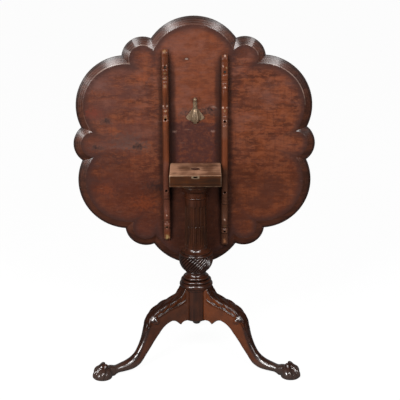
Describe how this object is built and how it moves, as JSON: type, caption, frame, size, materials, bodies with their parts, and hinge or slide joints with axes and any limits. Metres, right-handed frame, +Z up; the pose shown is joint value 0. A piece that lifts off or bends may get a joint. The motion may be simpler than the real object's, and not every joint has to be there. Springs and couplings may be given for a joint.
{
  "type": "tilt-top tea table",
  "caption": "Tripod tea table: a lobed tray top on bearers tips up about pins over a fluted, spiral carved pillar with claw feet, and a sprung brass catch holds it down.",
  "frame": {"origin": "on the floor under the pillar's axis", "axes": "+Z up; +Y from the front, where the underside of the tipped-up top shows, to the back; +X to the right seen from the front"},
  "size_m": [0.835, 0.632, 1.1919],
  "materials": {
    "mahogany_board": "satin, oiled underside",
    "bearer_wood": "worn satin",
    "block_wood": "worn satin",
    "mahogany_polished": "waxed polish",
    "brass": "tarnished",
    "iron": "dull"
  },
  "bodies": {
    "base": {"pillar": "mahogany_polished", "tenon_wedge": "block_wood", "leg_front_left": "mahogany_polished", "leg_front_right": "mahogany_polished", "leg_rear": "mahogany_polished", "leg_brace": "iron", "brace_nails": "iron", "pivot_block": "block_wood", "pivot_pin_left": "block_wood", "pivot_pin_right": "block_wood", "strike_plate": "brass", "strike_screws": "brass"},
    "top": {"tray_top": "mahogany_board", "bearer_left": "bearer_wood", "bearer_right": "bearer_wood", "bearer_screws_left": "iron", "bearer_screws_right": "iron", "catch_plate": "brass", "catch_case": "brass", "catch_staple": "brass", "catch_spring": "iron", "catch_screws": "iron"},
    "bolt": {"catch_bolt": "iron", "catch_knob": "brass"}
  },
  "joints": [
    {"name": "top_tilt", "type": "hinge", "parent": "base", "child": "top", "pos_m": [0, 0.071, 0.675], "axis": [1, 0, 0], "range_deg": [0, 90]},
    {"name": "catch_slide", "type": "slide", "parent": "top", "child": "bolt", "axis": [0, 0, 1], "range_m": [0, 0.006], "stiffness_N_per_m": 400, "springref_m": -0.005, "deforming": ["catch_spring"]}
  ]
}
